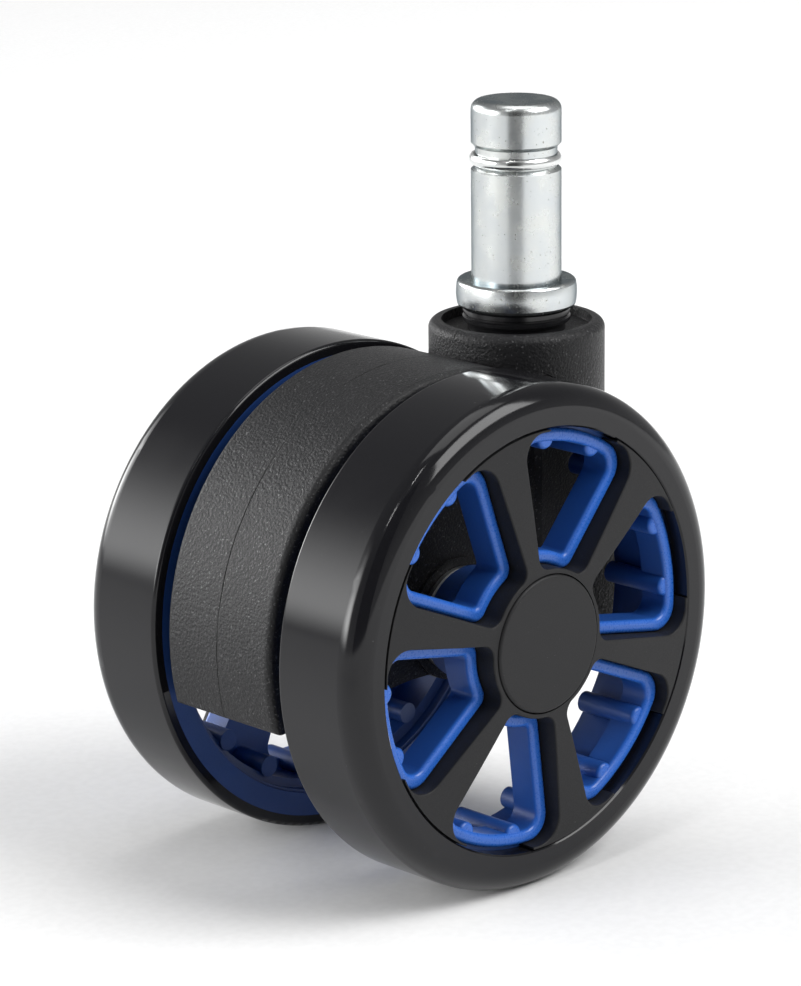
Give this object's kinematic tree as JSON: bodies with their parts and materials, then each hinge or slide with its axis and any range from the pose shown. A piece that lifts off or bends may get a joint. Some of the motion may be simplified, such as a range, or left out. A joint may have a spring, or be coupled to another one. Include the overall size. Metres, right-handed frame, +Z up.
{
  "type": "chair caster wheel",
  "caption": "Twin-wheel swivel caster for an office chair, with a push-in grip-ring stem, a fixed hood and open-spoke wheels.",
  "frame": {"origin": "on the stem axis at the top face of the collar, where the chair base's socket rests", "axes": "+Z up along the stem, the axle along Y, +X from the axle towards the stem, so the wheels trail towards -X"},
  "size_m": [0.0613, 0.0492, 0.0895],
  "materials": {
    "zinc_steel": "bright zinc-plated steel, turned",
    "ring_steel": "spring steel, bright",
    "hood_nylon": "black nylon, coarse spark-eroded texture",
    "bush_nylon": "black acetal, smooth",
    "axle_steel": "ground steel",
    "washer_steel": "plain steel",
    "tyre_pu": "black polyurethane, polished tread and satin face",
    "rim_nylon": "bright blue nylon, satin gloss",
    "cover_nylon": "dark grey-black nylon, fine matt",
    "cap_nylon": "dark grey-black nylon, fine matt",
    "hub_acetal": "natural acetal"
  },
  "bodies": {
    "stem": {"stem": "zinc_steel", "grip_ring": "ring_steel", "stem_clip": "ring_steel"},
    "hood": {"hood": "hood_nylon", "swivel_bush": "bush_nylon", "swivel_washer": "washer_steel", "axle": "axle_steel", "inner_washer_left": "washer_steel", "inner_washer_right": "washer_steel", "outer_washer_left": "washer_steel", "outer_washer_right": "washer_steel", "axle_clip_left": "ring_steel", "axle_clip_right": "ring_steel"},
    "wheel_left": {"tyre_left": "tyre_pu", "rim_left": "rim_nylon", "hub_left": "rim_nylon", "spokes_left": "rim_nylon", "window_lips_left": "rim_nylon", "face_cover_left": "cover_nylon", "centre_cap_left": "cap_nylon", "hub_bush_left": "hub_acetal"},
    "wheel_right": {"tyre_right": "tyre_pu", "rim_right": "rim_nylon", "hub_right": "rim_nylon", "spokes_right": "rim_nylon", "window_lips_right": "rim_nylon", "face_cover_right": "cover_nylon", "centre_cap_right": "cap_nylon", "hub_bush_right": "hub_acetal"}
  },
  "joints": [
    {"name": "swivel", "type": "hinge", "parent": "stem", "child": "hood", "pos_m": [0, 0, 0], "axis": [0, 0, 1], "continuous": true},
    {"name": "wheel_spin_left", "type": "hinge", "parent": "hood", "child": "wheel_left", "pos_m": [-0.02, 0, -0.037], "axis": [0, 1, 0], "continuous": true},
    {"name": "wheel_spin_right", "type": "hinge", "parent": "hood", "child": "wheel_right", "pos_m": [-0.02, 0, -0.037], "axis": [0, 1, 0], "continuous": true}
  ]
}
